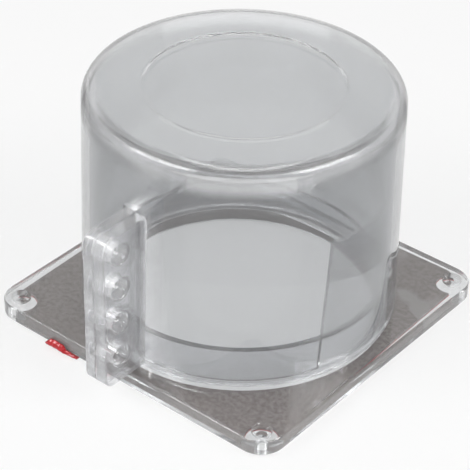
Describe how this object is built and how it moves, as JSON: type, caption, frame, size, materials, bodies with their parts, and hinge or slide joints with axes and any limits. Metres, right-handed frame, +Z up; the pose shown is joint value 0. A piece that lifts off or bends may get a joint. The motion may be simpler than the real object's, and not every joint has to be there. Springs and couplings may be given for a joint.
{
  "type": "emergency stop button cover",
  "caption": "Clear lift-off guard for an emergency stop button: a round cover on a square adhesive-backed base plate, locked by a padlock through two paired hasp leaves.",
  "frame": {"origin": "on the cover's axis, at the centre of the corner screw pattern, on the underside of the plate", "axes": "+Z up through the lid, along the way the cover lifts; the hasp points along -Y; the guard wall is on the +X side"},
  "size_m": [0.1106, 0.1223, 0.0818],
  "materials": {
    "clear_plastic": "clear with a smoky grey cast, polished, moulded",
    "foam_tape": "matt grey-brown foam tape, mottled where it wets the plate",
    "liner_film": "thin red film, glossy and creased"
  },
  "bodies": {
    "base": {"base_plate": "clear_plastic", "base_collar": "clear_plastic", "guard_wall": "clear_plastic", "base_hasp_leaf": "clear_plastic", "adhesive_pad": "foam_tape", "release_liner": "liner_film", "liner_tab": "liner_film"},
    "cover": {"cover_wall": "clear_plastic", "cover_lid": "clear_plastic", "cover_hasp_leaf": "clear_plastic"}
  },
  "joints": [
    {"name": "cover_lift", "type": "slide", "parent": "base", "child": "cover", "axis": [0, 0, 1], "range_m": [0, 0.065]}
  ]
}
